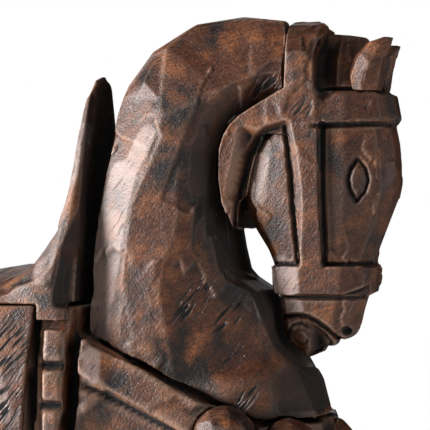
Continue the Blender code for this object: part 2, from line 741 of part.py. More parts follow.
def make_bells(horse, wood, body, neck):
    """Five round bells in a row round the chest, the end ones larger, each glued into a round seat."""
    reach = BELL_RADIUS + BELL_SPACE + END_BELL_RADIUS
    last = Vector(SIDE_BELL) + Vector(ROW_WAY).normalized() * reach
    row = (
        (-1, last, END_BELL_RADIUS), (-1, SIDE_BELL, BELL_RADIUS), (1, FRONT_BELL, BELL_RADIUS),
        (1, SIDE_BELL, BELL_RADIUS), (1, last, END_BELL_RADIUS),
    )
    for number, (side, (x, y, z), size) in enumerate(row, start=1):
        centre = Vector((x, side * across(y), z)) * MM
        for suffix, radius in (("", size), ("_seat", size + GLUE_GAP)):
            bm = bmesh.new()
            bmesh.ops.create_icosphere(bm, subdivisions=2, radius=radius * MM)
            ball = new_object(f"breast_bell_{number}{suffix}", mesh_of("bell", bm), horse)
            ball.location = centre
            if suffix:
                for seat in (body, neck):
                    boolean(seat, "DIFFERENCE", ball)
            else:
                finish(turned(ball), wood)


def main():
    clear_scene()
    wood = material("carved_walnut", WOOD["carved_walnut"], 0.45)
    plinth_wood = material("dark_plinth", WOOD["dark_plinth"], 0.4)
    beech = material("dowel_beech", WOOD["dowel_beech"], 0.6)
    felt_cloth = material("felt", (0.03, 0.06, 0.035), 0.95)
    steel = material("zinc_steel", (0.62, 0.60, 0.56), 0.3, 1.0)
    make_plinth(plinth_wood, felt_cloth, steel)
    horse = new_object("horse_frame", None)
    horse.location = Vector((FORE_X, 0, GLUE_PLANE_Z)) * MM
    legs = make_legs(horse, wood)
    body = make_body(horse, wood)
    neck = make_neck(horse, wood)
    head = make_head(horse, wood)
    ears = make_ears(horse, wood)
    saddle = make_saddle(horse, wood)
    make_flaps(horse, wood)
    tail = make_tail(horse, wood)
    make_bells(horse, wood, body, neck)
    for name, _, x, y in leg_places():
        dowel(f"{name}_leg_dowel", LEG_DOWEL, "z", horse, (x, y, 0), (legs[name], body), beech)
    dowel("neck_dowel_rear", NECK_DOWEL, "z", horse, (-28, 0, 89), (body, neck), beech)
    dowel("neck_dowel_front", NECK_DOWEL, "z", horse, (12, 0, 69), (body, neck), beech)
    dowel("head_dowel_upper", HEAD_DOWEL, "x", horse, (26.3, 0, 207), (neck, head), beech)
    dowel("head_dowel_lower", HEAD_DOWEL, "x", horse, (1, 0, 164), (neck, head), beech)
    dowel("saddle_dowel_front", SADDLE_DOWEL, "z", horse, (-62, 0, SADDLE_BED_Z), (body, saddle), beech)
    rear = along_back(CANTLE_X) + 9.3
    dowel("saddle_dowel_rear", SADDLE_DOWEL, "z", horse, (rear, 0, SADDLE_BED_Z), (body, saddle), beech)
    dowel("tail_dowel", TAIL_DOWEL, "x", horse, (REAR_X - 38, 0, 92), (body, tail), beech)
    for name, side in (("right", -1), ("left", 1)):
        dowel(f"{name}_ear_dowel", EAR_DOWEL, "y", horse, (57, side * 11, 199), (head, ears[name]), beech)


main()
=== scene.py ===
"""Carved wooden horse on a plinth: the surface that the carver and the polisher gave it.

Each block is a copy of its CAD solid, made dense, pared into flats, scored and worn.
The horse's own frame has x = 0 at the front legs' axis and z = 0 at the glue plane, in millimetres.
"""

import json
import math

import bpy
import numpy as np
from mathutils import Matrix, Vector

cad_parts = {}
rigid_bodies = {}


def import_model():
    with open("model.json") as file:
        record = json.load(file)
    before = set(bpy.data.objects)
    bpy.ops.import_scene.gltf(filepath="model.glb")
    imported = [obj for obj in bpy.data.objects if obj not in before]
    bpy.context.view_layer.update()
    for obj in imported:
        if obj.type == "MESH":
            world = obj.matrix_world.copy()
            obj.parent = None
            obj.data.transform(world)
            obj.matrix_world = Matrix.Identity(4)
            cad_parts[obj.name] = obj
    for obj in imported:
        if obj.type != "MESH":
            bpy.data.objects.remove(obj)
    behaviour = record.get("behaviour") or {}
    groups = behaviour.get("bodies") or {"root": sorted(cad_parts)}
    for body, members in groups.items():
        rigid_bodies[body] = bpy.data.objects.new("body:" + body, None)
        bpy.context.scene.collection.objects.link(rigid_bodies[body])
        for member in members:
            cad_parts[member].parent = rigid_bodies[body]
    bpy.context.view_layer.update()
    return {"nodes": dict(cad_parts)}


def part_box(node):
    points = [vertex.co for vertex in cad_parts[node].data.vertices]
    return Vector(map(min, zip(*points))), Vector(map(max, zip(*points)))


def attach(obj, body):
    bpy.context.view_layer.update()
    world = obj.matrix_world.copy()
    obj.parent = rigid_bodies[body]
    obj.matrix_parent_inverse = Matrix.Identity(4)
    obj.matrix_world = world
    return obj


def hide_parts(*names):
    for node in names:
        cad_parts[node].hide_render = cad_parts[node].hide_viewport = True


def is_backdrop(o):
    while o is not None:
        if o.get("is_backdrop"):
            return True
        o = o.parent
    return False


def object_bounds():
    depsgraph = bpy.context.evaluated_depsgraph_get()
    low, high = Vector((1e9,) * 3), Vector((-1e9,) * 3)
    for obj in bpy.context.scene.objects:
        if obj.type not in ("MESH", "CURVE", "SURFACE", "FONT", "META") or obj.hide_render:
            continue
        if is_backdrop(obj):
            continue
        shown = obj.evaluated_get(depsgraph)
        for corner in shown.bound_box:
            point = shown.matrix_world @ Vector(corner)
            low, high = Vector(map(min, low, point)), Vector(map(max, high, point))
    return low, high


MM = 0.001
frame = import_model()

low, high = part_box("fore_right_leg_dowel")
HORSE = np.array(((low.x + high.x) / 2, 0.0, (low.z + high.z) / 2))


# Bench


def deselect_all():
    for thing in bpy.data.objects:
        thing.select_set(False)


def take(piece):
    deselect_all()
    piece.select_set(True)
    bpy.context.view_layer.objects.active = piece


def work(piece, kind, **settings):
    """Adds a modifier to a piece and applies it."""
    take(piece)
    made = piece.modifiers.new(kind.lower(), kind)
    for key, value in settings.items():
        setattr(made, key, value)
    bpy.ops.object.modifier_apply(modifier=made.name)


def block_from(node):
    """A loose copy of a CAD solid, with its doubled corners merged."""
    piece = bpy.data.objects.new(f"carved_{node}", frame["nodes"][node].data.copy())
    bpy.context.scene.collection.objects.link(piece)
    piece.data.materials.clear()
    take(piece)
    bpy.ops.object.mode_set(mode="EDIT")
    bpy.ops.mesh.select_all(action="SELECT")
    bpy.ops.mesh.remove_doubles(threshold=0.00001)
    bpy.ops.object.mode_set(mode="OBJECT")
    return piece


def surface(piece):
    """Points in the horse's millimetres and unit normals, one row for each vertex."""
    count = len(piece.data.vertices)
    points, normals = np.empty(count * 3), np.empty(count * 3)
    piece.data.vertices.foreach_get("co", points)
    piece.data.vertices.foreach_get("normal", normals)
    return (points.reshape(-1, 3) - HORSE) / MM, normals.reshape(-1, 3)


def reshape(piece, points):
    piece.data.vertices.foreach_set("co", (points * MM + HORSE).ravel())
    piece.data.update()


def relaxed(piece, values, rounds):
    """Values at the vertices, each drawn half way to its neighbours' average so many times."""
    count = len(piece.data.vertices)
    ends = np.empty(len(piece.data.edges) * 2, int)
    piece.data.edges.foreach_get("vertices", ends)
    a, b = ends.reshape(-1, 2).T
    degree = np.maximum(np.bincount(a, minlength=count) + np.bincount(b, minlength=count), 1)
    for _ in range(rounds):
        sums = [np.bincount(a, v[b], count) + np.bincount(b, v[a], count) for v in values.T]
        values = 0.5 * values + 0.5 * (np.stack(sums, 1) / degree[:, None])
    return values


# Tool marks, in the horse's millimetres. A place or a line is given as x and z, and is cut on both sides


BOTH_SIDES = (-1, 1)
FLAT_STRETCH = 1.6  # a flat's length over its width
FLAT_TRIES = 6000
FLATS_ROUND = 5  # how many flats round a point can pare it
LEAST_FACING = 0.6
NO_CUT = 9.0  # more than any flat takes off


def smooth_step(values, low, high):
    """From 0 at the low value to 1 at the high one, with soft ends."""
    share = np.clip((values - low) / (high - low), 0, 1)
    return share * share * (3 - 2 * share)


def pare_flats(piece, size, depth, tilt, seed, along):
    """Flats left by a broad gouge worked one way. Each point is pared to the lowest of the flats round it."""
    points, normals = surface(piece)
    broad = relaxed(piece, normals, 12)
    broad /= np.linalg.norm(broad, axis=1)[:, None]
    draw = np.random.default_rng(seed)
    axis = np.array(along, float) / np.linalg.norm(along)
    squeezed = points - np.outer(points @ axis, axis) * (1 - 1 / FLAT_STRETCH)
    chosen = []
    for i in draw.permutation(len(points))[:FLAT_TRIES]:
        if not chosen or (np.square(squeezed[chosen] - squeezed[i]).sum(1) > size * size).all():
            chosen.append(int(i))
    middles, leans = points[chosen], broad[chosen] + draw.normal(0, tilt, (len(chosen), 3))
    leans /= np.linalg.norm(leans, axis=1)[:, None]
    bites = draw.uniform(0, depth, len(chosen))
    shift = np.zeros(len(points))
    batch = 8000
    for start in range(0, len(points), batch):
        part = slice(start, start + batch)
        apart = np.square(squeezed[part, None] - squeezed[chosen][None]).sum(2)
        near = np.argpartition(apart, FLATS_ROUND, axis=1)[:, :FLATS_ROUND]
        rise = np.einsum("ijk,ijk->ij", middles[near] - points[part, None], leans[near]) - bites[near]
        facing = np.einsum("ijk,ik->ij", leans[near], broad[part])
        rise = np.where(facing > LEAST_FACING, rise / np.maximum(facing, LEAST_FACING), NO_CUT)
        shift[part] = rise.min(1)
    shift = np.clip(np.where(shift > NO_CUT - 1, 0, shift), -1.5 * depth, depth) - depth
    reshape(piece, points + broad * shift[:, None])


def half_width(points, side, x, z):
    """How far the surface stands from the middle plane on one side, at a place in x and z."""
    near = points[points[:, 1] * side > 0]
    apart = np.hypot(near[:, 0] - x, near[:, 2] - z)
    return np.abs(near[apart < max(apart.min() + 0.5, 2.0), 1]).max()


def pare_along(piece, uncut, start, end, turn, most, fade, wide):
    """A broad flat whose edge runs on the uncut surface from start to end. It falls away from there at an
    angle in degrees, forwards or upwards if positive, backwards or downwards if negative, for a width."""
    points, _ = surface(piece)
    for side in BOTH_SIDES:
        a, b = (np.array((x, side * half_width(uncut, side, x, z), z)) for x, z in (start, end))
        length = np.linalg.norm(b - a)
        run = (b - a) / length
        square = np.array((0.0, side, 0.0)) - run * run[1] * side
        square /= np.linalg.norm(square)
        away = np.cross(run, square)
        away *= np.sign(away[0] if abs(run[2]) > abs(run[0]) else away[2]) * np.sign(turn)
        lean = math.cos(math.radians(turn)) * square + math.sin(math.radians(abs(turn))) * away
        proud = np.clip((points - a) @ lean, 0, most) * ((points - a) @ square > -most)
        proud *= np.clip(wide + 1 - (points - a) @ away, 0, 1)
        along = (points - a) @ run
        within = smooth_step(along, -fade, 0) * (1 - smooth_step(along, length, length + fade))
        points = points - lean * (proud * within * (points[:, 1] * side > 0))[:, None]
    reshape(piece, points)


def distance_to_line(flat, line):
    """Each point's distance to a line of straight runs, how far along it lies, and the line's length."""
    line = np.array(line, float)
    best, along, run = np.full(len(flat), 1e9), np.zeros(len(flat)), 0.0
    for start, end in zip(line, line[1:]):
        step = end - start
        length = np.linalg.norm(step)
        share = np.clip((flat - start) @ step / length**2, 0, 1)
        apart = np.linalg.norm(flat - start - share[:, None] * step, axis=1)
        along = np.where(apart < best, run + share * length, along)
        best = np.minimum(best, apart)
        run += length
    return best, along, run


def mark(piece, name, amount):
    """Raises one of the tones at the vertices: dark stain with painted shade, scraper hatching, painted
    sheen.
    """
    layer = piece.data.attributes.get(name) or piece.data.attributes.new(name, "FLOAT", "POINT")
    held = np.empty(len(amount), np.float32)
    layer.data.foreach_get("value", held)
    layer.data.foreach_set("value", np.maximum(held, amount).astype(np.float32))


def score(piece, line, width, depth, stain, power, reach=0.2):
    """A V-tool's cut along a line, with dark stain and painted shade laid in it. A low power makes it full
    across, and the reach says how far round from the side it goes. With no depth it is only painted shade."""
    points, normals = surface(piece)
    apart, along, length = distance_to_line(points[:, [0, 2]], line)
    ends = np.clip(np.minimum(along, length - along) / width + 0.35, 0, 1)
    share = np.clip(1 - apart / (width / 2), 0, 1) ** power * ends
    for side in BOTH_SIDES:
        turned = np.clip((normals[:, 1] * side - reach) / 0.2, 0, 1)
        points[:, 1] -= side * depth * share * turned
        mark(piece, "dark_stain_and_painted_shade", stain * share * turned)
    reshape(piece, points)


def scratch(piece, centre, angle, length, breadth):
    """An oval patch roughened with a toothed scraper."""
    points, normals = surface(piece)
    ahead = np.array((math.cos(angle), math.sin(angle)))
    across = np.array((-ahead[1], ahead[0]))
    flat = points[:, [0, 2]] - np.array(centre, float)
    out = np.hypot(flat @ ahead / (length / 2), flat @ across / (breadth / 2))
    mark(piece, "hatched", smooth_step(-out, -1.25, -0.6) * (np.abs(normals[:, 1]) > 0.3))


def paint_sheen(piece, line, width, amount):
    """A band along a line painted with a pale sheen tone, a painted highlight, with a firm edge."""
    points, normals = surface(piece)
    apart, _, _ = distance_to_line(points[:, [0, 2]], line)
    band = smooth_step(-apart, -width / 2, 1.5 - width / 2)
    mark(piece, "painted_sheen", amount * band * (np.abs(normals[:, 1]) > 0.3))


def ease(piece, place, radius, rounds=60):
    """Rubs a round patch smooth."""
    points, _ = surface(piece)
    share = 1 - smooth_step(np.hypot(points[:, 0] - place[0], points[:, 2] - place[1]), radius / 2, radius)
    reshape(piece, points + share[:, None] * (relaxed(piece, points, rounds) - points))


def nick(piece, place, radius, way):
    """A notch in the outline, through the whole width, pushed in by a way in x and z."""
    points, _ = surface(piece)
    share = np.clip(1 - np.hypot(points[:, 0] - place[0], points[:, 2] - place[1]) / radius, 0, 1)
    points += share[:, None] * np.array((way[0], 0.0, way[1]))
    # The notch is darkened with stain and painted shade.
    mark(piece, "dark_stain_and_painted_shade", np.minimum(1.6 * share, 1.0))
    reshape(piece, points)


def pit(piece, place, radius, depth):
    """A round hole, its bottom darkened with stain and painted shade."""
    points, _ = surface(piece)
    share = 1 - np.square(np.hypot(points[:, 0] - place[0], points[:, 2] - place[1]) / radius)
    share = np.clip(share, 0, 1)
    points[:, 1] -= np.sign(points[:, 1]) * share * depth
    mark(piece, "dark_stain_and_painted_shade", np.minimum(2 * share, 1.0))
    reshape(piece, points)


def shade_facing(piece, way, amount, low, high, least=0.88, full=0.97):
    """Painted shade on the faces that look forwards (1) or backwards (-1), between two heights: a gap's
    walls.
    """
    points, normals = surface(piece)
    facing = smooth_step(normals[:, 0] * way, least, full)
    mark(piece, "dark_stain_and_painted_shade", amount * facing * (points[:, 2] > low) * (points[:, 2] < high))


def lay_tones(piece):
    """Marks where handling wears the stain (fine ridges), and painted shade with gathered stain in the broad
    hollows.
    """
    points, normals = surface(piece)
    for name, rounds, scale, sign in (("worn", 4, 5.0, 1), ("hollow_stain_and_painted_shade", 26, 1.6, -1)):
        lift = np.einsum("ij,ij->i", points - relaxed(piece, points, rounds), normals) * sign
        lift = relaxed(piece, lift[:, None], 1)[:, 0]
        layer = piece.data.attributes.new(name, "FLOAT", "POINT")
        layer.data.foreach_set("value", np.clip(lift * scale, 0, 1).astype(np.float32))


# Finishes


def srgb(code):
    """A hex colour as linear red, green, blue and alpha."""
    shares = [int(code[i : i + 2], 16) / 255 for i in (1, 3, 5)]
    return (*(s / 12.92 if s <= 0.04045 else ((s + 0.055) / 1.055) ** 2.4 for s in shares), 1.0)


def add(tree, kind, sockets=None, out=0, **settings):
    """Adds a node with its settings, gives each named socket a value or a link, and returns one output."""
    node = tree.nodes.new(kind)
    for key, value in settings.items():
        setattr(node, key, value)
    for key, value in (sockets or {}).items():
        if isinstance(value, bpy.types.NodeSocket):
            tree.links.new(value, node.inputs[key])
        else:
            node.inputs[key].default_value = value
    return node.outputs[out] if node.outputs else None


def new_finish(name):
    """A material, its nodes and its Principled shader."""
    finish = bpy.data.materials.new(name)
    finish.use_nodes = True
    tree = finish.node_tree
    return finish, tree, tree.nodes["Principled BSDF"]


MIX, RANGE, MATH = "ShaderNodeMix", "ShaderNodeMapRange", "ShaderNodeMath"
NOISE, PLACED, BUMP = "ShaderNodeTexNoise", "ShaderNodeMapping", "ShaderNodeBump"
COLOURS = {"data_type": "RGBA", "out": 2}
# Pale grey-pink of a painted sheen highlight
PAINTED_SHEEN_TONE = "#b39f98"
# Near black: the stain in cuts and scratches, and painted shade
STAIN_AND_SHADE = "#0b0908"


def waxed_walnut(name, dark, brown, warm, pale, worn_share):
    """Walnut under a dark spirit stain, waxed: black in the cuts, warm where worn, with painted shade in
    hollows and gaps and a painted pale sheen on some facets.
    """
    finish, tree, shader = new_finish(name)
    place = add(tree, "ShaderNodeTexCoord", out="Object")
    # The vertex tones: wear on ridges, painted shade with gathered stain in hollows, dark stain with painted
    # shade, scraper hatching, painted sheen
    worn, hollow_stain_and_painted_shade, dark_stain_and_painted_shade, hatched, painted_sheen = (
        add(tree, "ShaderNodeAttribute", out="Fac", attribute_name=tone)
        for tone in ("worn", "hollow_stain_and_painted_shade", "dark_stain_and_painted_shade", "hatched", "painted_sheen")
    )
    # The stain takes in patches 20 mm across, and in smaller clouds within them
    patches = add(tree, NOISE, {"Vector": place, "Scale": 44.0, "Detail": 4.0, "Roughness": 0.5})
    cloud = add(tree, NOISE, {"Vector": place, "Scale": 110.0, "Detail": 4.0, "Roughness": 0.5})
    # Pores and grain lines, 0.8 mm apart and 12 mm long, rising a little towards the head
    along_grain = add(
        tree, PLACED, {"Vector": place, "Rotation": (0.0, -0.35, 0.0), "Scale": (0.012, 0.0008, 0.0008)},
        vector_type="TEXTURE",
    )
    grain = add(tree, NOISE, {"Vector": along_grain, "Scale": 1.0, "Detail": 4.0, "Roughness": 0.65})
    # Hair scratches from the rasp, 0.7 mm wide and 9 mm long, seldom
    along_rasp = add(
        tree, PLACED, {"Vector": place, "Rotation": (0.0, -0.95, 0.0), "Scale": (0.009, 0.009, 0.0011)},
        vector_type="TEXTURE",
    )
    rasp = add(tree, NOISE, {"Vector": along_rasp, "Scale": 1.0, "Detail": 3.0, "Distortion": 0.6})
    hair = add(tree, RANGE, {0: rasp, 1: 0.60, 2: 0.66, 3: 0.0, 4: 0.55}, interpolation_type="SMOOTHSTEP")
    # The toothed scraper's strokes, 1.3 mm apart and 9 mm long, at half a right angle across the sides
    along_teeth = add(
        tree, PLACED, {"Vector": place, "Rotation": (0.0, -0.86, 0.0), "Scale": (0.009, 0.012, 0.0013)},
        vector_type="TEXTURE",
    )
    teeth = add(tree, NOISE, {"Vector": along_teeth, "Scale": 1.0, "Detail": 1.0})
    strokes = add(tree, RANGE, {0: teeth, 1: 0.52, 2: 0.42}, interpolation_type="SMOOTHSTEP")
    scraped = add(tree, MATH, {0: strokes, 1: hatched}, operation="MULTIPLY")
    # Pits and torn fibres, 0.7 mm across
    pits = add(tree, NOISE, {"Vector": place, "Scale": 1100.0, "Detail": 3.0, "Roughness": 0.7})

    share = add(tree, RANGE, {0: patches, 1: 0.38, 2: 0.52}, interpolation_type="SMOOTHSTEP")
    tone = add(tree, MIX, {0: share, 6: srgb(dark), 7: srgb(brown)}, **COLOURS)
    share = add(tree, RANGE, {0: cloud, 1: 0.46, 2: 0.72}, interpolation_type="SMOOTHSTEP")
    tone = add(tree, MIX, {0: share, 6: tone, 7: srgb(warm)}, **COLOURS)
    share = add(tree, RANGE, {0: grain, 1: 0.36, 2: 0.60}, interpolation_type="SMOOTHSTEP")
    shade = add(tree, MIX, {0: share, 6: srgb("#a8a0a0"), 7: srgb("#ffffff")}, **COLOURS)
    tone = add(tree, MIX, {0: 0.8, 6: tone, 7: shade}, blend_type="MULTIPLY", **COLOURS)
    share = add(tree, RANGE, {0: pits, 1: 0.38, 2: 0.50}, interpolation_type="SMOOTHSTEP")
    shade = add(tree, MIX, {0: share, 6: srgb("#a09898"), 7: srgb("#ffffff")}, **COLOURS)
    tone = add(tree, MIX, {0: 0.8, 6: tone, 7: shade}, blend_type="MULTIPLY", **COLOURS)
    share = add(tree, MATH, {0: worn, 1: worn_share}, operation="MULTIPLY")
    tone = add(tree, MIX, {0: share, 6: tone, 7: srgb(pale)}, **COLOURS)
    # Painted highlight: a pale sheen tone laid in patches on the marked bands
    share = add(tree, RANGE, {0: patches, 1: 0.35, 2: 0.60, 3: 0.65, 4: 1.0})
    share = add(tree, MATH, {0: share, 1: painted_sheen}, operation="MULTIPLY")
    tone = add(tree, MIX, {0: share, 6: tone, 7: srgb(PAINTED_SHEEN_TONE)}, **COLOURS)
    # Dark stain and painted shade: stain in cuts, scraper strokes and rasp scratches, painted shade in
    # hollows and gaps
    stain = add(tree, MATH, {0: hollow_stain_and_painted_shade, 1: dark_stain_and_painted_shade}, operation="MAXIMUM")
    stain = add(tree, MATH, {0: stain, 1: scraped}, operation="MAXIMUM")
    stain = add(tree, MATH, {0: stain, 1: hair}, operation="MAXIMUM")
    tone = add(tree, MIX, {0: stain, 6: tone, 7: srgb(STAIN_AND_SHADE)}, **COLOURS)
    tree.links.new(tone, shader.inputs["Base Color"])
    gloss = add(tree, RANGE, {0: cloud, 1: 0.3, 2: 0.7, 3: 0.33, 4: 0.47})
    gloss = add(tree, MATH, {0: gloss, 1: stain, 2: 0.4}, operation="SMOOTH_MAX")
    tree.links.new(gloss, shader.inputs["Roughness"])
    relief = None
    for height, strength, deep in (
        (cloud, 0.35, 0.0012), (grain, 0.50, 0.0003), (rasp, 0.35, 0.0006), (pits, 0.75, 0.0004),
    ):
        sockets = {"Height": height, "Strength": strength, "Distance": deep}
        if relief:
            sockets["Normal"] = relief
        relief = add(tree, BUMP, sockets)
    relief = add(
        tree, BUMP, {"Height": scraped, "Strength": 0.9, "Distance": 0.0008, "Normal": relief},
        invert=True,
    )
    tree.links.new(relief, shader.inputs["Normal"])
    shader.inputs["IOR"].default_value = 1.5
    return finish


def plain_beech():
    """Turned beech dowel: pale, close-grained, unfinished."""
    finish, tree, shader = new_finish("turned_beech")
    place = add(tree, "ShaderNodeTexCoord", out="Object")
    along = add(tree, PLACED, {"Vector": place, "Scale": (0.0011, 0.0011, 0.012)}, vector_type="TEXTURE")
    grain = add(tree, NOISE, {"Vector": along, "Scale": 1.0, "Detail": 3.0})
    share = add(tree, RANGE, {0: grain, 1: 0.35, 2: 0.65})
    tone = add(tree, MIX, {0: share, 6: srgb("#b8925f"), 7: srgb("#d9b98c")}, **COLOURS)
    tree.links.new(tone, shader.inputs["Base Color"])
    shader.inputs["Roughness"].default_value = 0.65
    return finish


def wool_felt():
    """Pressed wool felt: matt, with short fibres lying every way."""
    finish, tree, shader = new_finish("pressed_wool_felt")
    place = add(tree, "ShaderNodeTexCoord", out="Object")
    # Fibres 0.7 mm apart, drawn coarse enough to show
    fibre = add(tree, NOISE, {"Vector": place, "Scale": 1400.0, "Detail": 4.0, "Distortion": 1.5})
    share = add(tree, RANGE, {0: fibre, 1: 0.3, 2: 0.7})
    tone = add(tree, MIX, {0: share, 6: srgb("#1d2a20"), 7: srgb("#34483a")}, **COLOURS)
    tree.links.new(tone, shader.inputs["Base Color"])
    relief = add(tree, BUMP, {"Height": fibre, "Strength": 0.8, "Distance": 0.0004})
    tree.links.new(relief, shader.inputs["Normal"])
    shader.inputs["Roughness"].default_value = 0.95
    shader.inputs["Sheen Weight"].default_value = 0.3
    return finish


def zinc_plate():
    """Zinc-plated steel screw: pale grey with a dull sheen."""
    finish, tree, shader = new_finish("zinc_plated_steel")
    place = add(tree, "ShaderNodeTexCoord", out="Object")
    # The plating's cloudiness, 2 mm across
    cloud = add(tree, NOISE, {"Vector": place, "Scale": 600.0, "Detail": 2.0})
    tone = add(tree, MIX, {0: cloud, 6: srgb("#b9b8b2"), 7: srgb("#d6d4cc")}, **COLOURS)
    tree.links.new(tone, shader.inputs["Base Color"])
    shader.inputs["Metallic"].default_value = 1.0
    shader.inputs["Roughness"].default_value = 0.32
    return finish


walnut = waxed_walnut("waxed_stained_walnut", "#1f1614", "#56301d", "#7f4a24", "#a58470", 0.45)
base_walnut = waxed_walnut("planed_stained_walnut", "#19110e", "#38231a", "#573724", "#86634a", 0.5)


# Blocks


FIRST_SEED = 40
# Node, the mesh's spacing, and the gouge's flats: size, depth, tilt and the way that they run
BLOCKS = (
    ("head", 0.60, 6.5, 0.26, 0.07, (0, 0, 1)),
    ("neck", 0.74, 12.0, 0.45, 0.07, (0.35, 0, 1)),
    ("body", 1.25, 12.0, 0.34, 0.05, (1, 0, 0)),
    ("saddle", 0.80, 9.0, 0.26, 0.05, (0, 0, 1)),
    ("right_flap", 0.60, 8.0, 0.16, 0.03, (0, 0, 1)),
    ("left_flap", 0.60, 8.0, 0.16, 0.03, (0, 0, 1)),
    ("right_ear", 0.35, 4.0, 0.15, 0.06, (1, 0, 1)),
    ("left_ear", 0.35, 4.0, 0.15, 0.06, (1, 0, 1)),
    ("tail", 0.70, 8.0, 0.30, 0.06, (0, 0, 1)),
    ("fore_right_leg", 0.75, 8.0, 0.28, 0.05, (0, 0, 1)),
    ("fore_left_leg", 0.75, 8.0, 0.28, 0.05, (0, 0, 1)),
    ("rear_right_leg", 0.80, 8.0, 0.28, 0.05, (0, 0, 1)),
    ("rear_left_leg", 0.80, 8.0, 0.28, 0.05, (0, 0, 1)),
    ("breast_bell_1", 0.45, 6.5, 0.20, 0.05, (0, 0, 1)),
    ("breast_bell_2", 0.45, 6.5, 0.20, 0.05, (0, 0, 1)),
    ("breast_bell_3", 0.45, 6.5, 0.20, 0.05, (0, 0, 1)),
    ("breast_bell_4", 0.45, 6.5, 0.20, 0.05, (0, 0, 1)),
    ("breast_bell_5", 0.45, 6.5, 0.20, 0.05, (0, 0, 1)),
    ("plinth", 1.50, 22.0, 0.10, 0.004, (1, 0, 0)),
)


ACROSS = 999.0  # to the block's far side
# The planes that a block is first brought to: the edge's two ends, turn, most depth, fade at the ends, width
BROAD_CUTS = {
    "neck": (
        ((-40.0, 90.0), (-36.4, 112.0), -31, 14, 8, ACROSS),
        ((-36.4, 112.0), (-31.3, 145.0), -31, 14, 8, ACROSS),
        ((-31.3, 145.0), (-24.5, 169.0), -30, 14, 8, ACROSS),
        ((-24.5, 169.0), (-19.0, 182.0), -24, 14, 14, ACROSS),
        ((-12.8, 86.0), (-18.7, 116.5), 20, 12, 8, ACROSS),
        ((-18.7, 116.5), (-14.0, 147.0), 20, 12, 8, ACROSS),
        ((-14.0, 147.0), (-7.0, 177.0), 18, 12, 8, ACROSS),
        ((-30.0, 186.0), (-12.0, 189.0), 22, 12, 8, ACROSS),
        ((-12.0, 189.0), (34.0, 201.0), 22, 12, 8, ACROSS),
    ),
    "head": (
        ((59.7, 178.0), (63.1, 160.0), 26, 6, 3, ACROSS),
        ((63.1, 160.0), (57.4, 138.0), 26, 6, 3, ACROSS),
        ((57.4, 138.0), (53.2, 126.3), 26, 6, 3, ACROSS),
        ((22.0, 172.0), (17.5, 152.0), -30, 5, 5, 12),
        ((32.5, 125.5), (32.5, 113.8), -26, 4, 0.5, 12),
        ((57.0, 125.5), (57.0, 113.8), 26, 4, 0.5, 12),
        ((61.5, 192.5), (61.5, 180.0), 26, 4, 0.5, 12),
        ((30.0, 112.0), (30.0, 105.5), -24, 4, 1, 12),
        ((44.0, 112.0), (46.5, 103.0), 20, 5, 1, 20),
        ((53.2, 208.0), (54.0, 194.0), 30, 5, 2, 12),
    ),
    "saddle": (
        ((-58.2, 112.0), (-57.0, 131.5), 58, 8, 3, 12),
        ((-57.0, 131.5), (-51.8, 150.8), 58, 8, 3, 12),
        ((-51.8, 150.8), (-48.6, 169.9), 58, 8, 3, 12),
        ((-48.6, 169.9), (-43.8, 189.0), 58, 8, 3, 12),
    ),
}


def carve(node, seed, spacing, size, depth, tilt, along):
    """A block made dense, brought to its broad planes and then gouged."""
    piece = block_from(node)
    work(piece, "REMESH", mode="VOXEL", voxel_size=spacing * MM)
    points, _ = surface(piece)
    uncut = relaxed(piece, points, 2)
    reshape(piece, uncut)
    for cut in BROAD_CUTS.get(node, ()):
        pare_along(piece, uncut, *cut)
    pare_flats(piece, size, depth, tilt, seed, along)
    points, _ = surface(piece)
    reshape(piece, relaxed(piece, points, 1))
    return piece


pieces = {}
for seed, (node, *cut) in enumerate(BLOCKS, start=FIRST_SEED):
    pieces[node] = carve(node, seed, *cut)


# Carving


THROATLATCH_OUTER = (
    (26.8, 193.4), (18.8, 189.0), (9.6, 183.4), (4.3, 178.0), (1.3, 168.5), (1.1, 158.5), (2.4, 150.8),
    (7.1, 139.2),
)
THROATLATCH_INNER = (
    (28, 179.0), (21.1, 177.3), (17.2, 174.5), (12.9, 168), (11.4, 162.3), (9.4, 152.7), (8.8, 145),
    (9.6, 139.2),
)
EYE = (
    (54.9, 166.2), (57.8, 162.6), (58.8, 158.3), (57.6, 154), (54.6, 150.2), (52.3, 153.6), (51.4, 158.3),
    (52.4, 162.6), (54.9, 166.2),
)
MOUTH = (
    (22.8, 103.6), (25.6, 105.4), (30.7, 106.3), (35.0, 105.6), (38.9, 103.7), (42.8, 100.7), (45.9, 97.6),
    (48.6, 95.6),
)
LIP = ((27.0, 99.0), (29.0, 102.4), (32.4, 103.2), (35.6, 101.4))
MOUTH_HOLLOW = ((36.6, 101.5), (39.0, 97.5), (39.0, 93.0), (36.6, 88.5))
BOSS_PLACE, BOSS_RADIUS = (32.1, 97.6), 2.9
BOSS = [
    (BOSS_PLACE[0] + BOSS_RADIUS * math.cos(turn), BOSS_PLACE[1] + BOSS_RADIUS * math.sin(turn))
    for turn in (i * math.pi / 8 for i in range(17))
]
CHEEK_STRAP_REAR = ((27.4, 180), (29.6, 160), (31.2, 136), (32.0, 126))
STRAP_FOOT = ((-47.0, 80.5), (-40.0, 78.0), (-28.3, 72.3), (-14.7, 65.5), (-4.0, 60.2))
BEADS, BEADS_TOP, BEAD_PITCH, BEAD_GAP = 5, 101.5, 15.1, 3.5

ease(pieces["neck"], (12.0, 86.0), 26.0)
ease(pieces["neck"], (-22.0, 95.0), 9.0)
